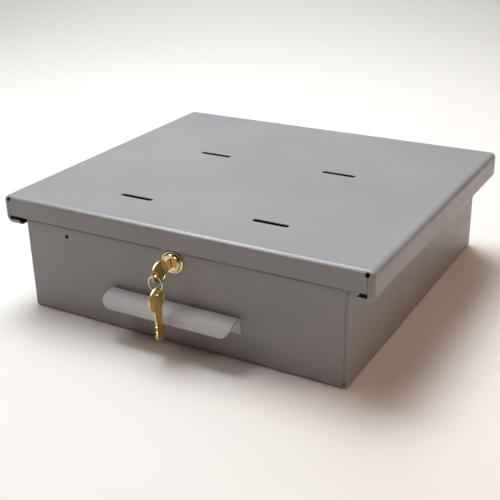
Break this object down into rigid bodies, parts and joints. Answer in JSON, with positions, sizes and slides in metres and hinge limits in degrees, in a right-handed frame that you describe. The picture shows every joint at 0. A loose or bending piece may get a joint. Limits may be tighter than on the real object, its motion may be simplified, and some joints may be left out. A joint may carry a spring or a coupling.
{
  "type": "cash drawer",
  "caption": "Under-counter steel cash drawer: a slotted hanger with side channels, a sliding box with cam lock, keys and pull lip, and a plastic till with note clips.",
  "frame": {"origin": "centre of the four-slot pattern on the hanger's top face", "axes": "+Z out of the top face towards the counter, +X to the user's right along the slots, +Y away from the user"},
  "size_m": [0.4064, 0.3993, 0.121],
  "materials": {
    "grey_paint": "satin powder coat with a fine texture",
    "lock_brass": "polished",
    "key_brass": "brushed, lightly worn",
    "ring_steel": "bright nickel",
    "plated_steel": "zinc plated",
    "black_rubber": "matt",
    "black_plastic": "fine moulded grain",
    "clip_plastic": "satin moulded"
  },
  "bodies": {
    "cover": {"mounting_cover": "grey_paint", "glide_strip_left": "black_plastic", "glide_strip_right": "black_plastic", "closing_bumpers": "black_rubber", "lock_strike": "grey_paint"},
    "drawer": {"drawer_box": "grey_paint", "pull_handle": "grey_paint", "handle_rivets": "plated_steel", "rear_guide_left": "black_plastic", "rear_guide_right": "black_plastic", "guide_rivets": "plated_steel", "lock_housing": "lock_brass", "lock_washer": "plated_steel", "lock_nut": "plated_steel", "till_tray": "black_plastic", "coin_tray": "black_plastic", "clip_rod": "plated_steel"},
    "lock_core": {"lock_plug": "lock_brass", "tumbler_wafers": "lock_brass", "lock_cam": "plated_steel", "cam_screw": "plated_steel"},
    "key": {"main_key": "key_brass"},
    "ring": {"key_ring": "ring_steel"},
    "spare": {"spare_key": "key_brass"},
    "clip_1": {"bill_clip_1": "clip_plastic"},
    "clip_2": {"bill_clip_2": "clip_plastic"},
    "clip_3": {"bill_clip_3": "clip_plastic"},
    "clip_4": {"bill_clip_4": "clip_plastic"},
    "clip_5": {"bill_clip_5": "clip_plastic"}
  },
  "joints": [
    {"name": "drawer_slide", "type": "slide", "parent": "cover", "child": "drawer", "axis": [0, -1, 0], "range_m": [0, 0.262]},
    {"name": "lock_turn", "type": "hinge", "parent": "drawer", "child": "lock_core", "pos_m": [0.0006, -0.1289, -0.0338], "axis": [0, 1, 0], "range_deg": [0, 90]},
    {"name": "key_draw", "type": "slide", "parent": "lock_core", "child": "key", "axis": [0, -1, 0], "range_m": [0, 0.03]},
    {"name": "ring_hang", "type": "hinge", "parent": "key", "child": "ring", "pos_m": [0.0006, -0.1583, -0.04027], "axis": [0, 1, 0], "range_deg": [-90, 0]},
    {"name": "spare_swing", "type": "hinge", "parent": "ring", "child": "spare", "pos_m": [0.0006, -0.1583, -0.0437], "axis": [0, 1, 0], "range_deg": [-35, 35]},
    {"name": "clip_lift_1", "type": "hinge", "parent": "drawer", "child": "clip_1", "pos_m": [-0.1392, 0.2115, -0.058], "axis": [-1, 0, 0], "range_deg": [0, 68]},
    {"name": "clip_lift_2", "type": "hinge", "parent": "drawer", "child": "clip_2", "pos_m": [-0.0696, 0.2115, -0.058], "axis": [-1, 0, 0], "range_deg": [0, 68]},
    {"name": "clip_lift_3", "type": "hinge", "parent": "drawer", "child": "clip_3", "pos_m": [0, 0.2115, -0.058], "axis": [-1, 0, 0], "range_deg": [0, 68]},
    {"name": "clip_lift_4", "type": "hinge", "parent": "drawer", "child": "clip_4", "pos_m": [0.0696, 0.2115, -0.058], "axis": [-1, 0, 0], "range_deg": [0, 68]},
    {"name": "clip_lift_5", "type": "hinge", "parent": "drawer", "child": "clip_5", "pos_m": [0.1392, 0.2115, -0.058], "axis": [-1, 0, 0], "range_deg": [0, 68]}
  ]
}
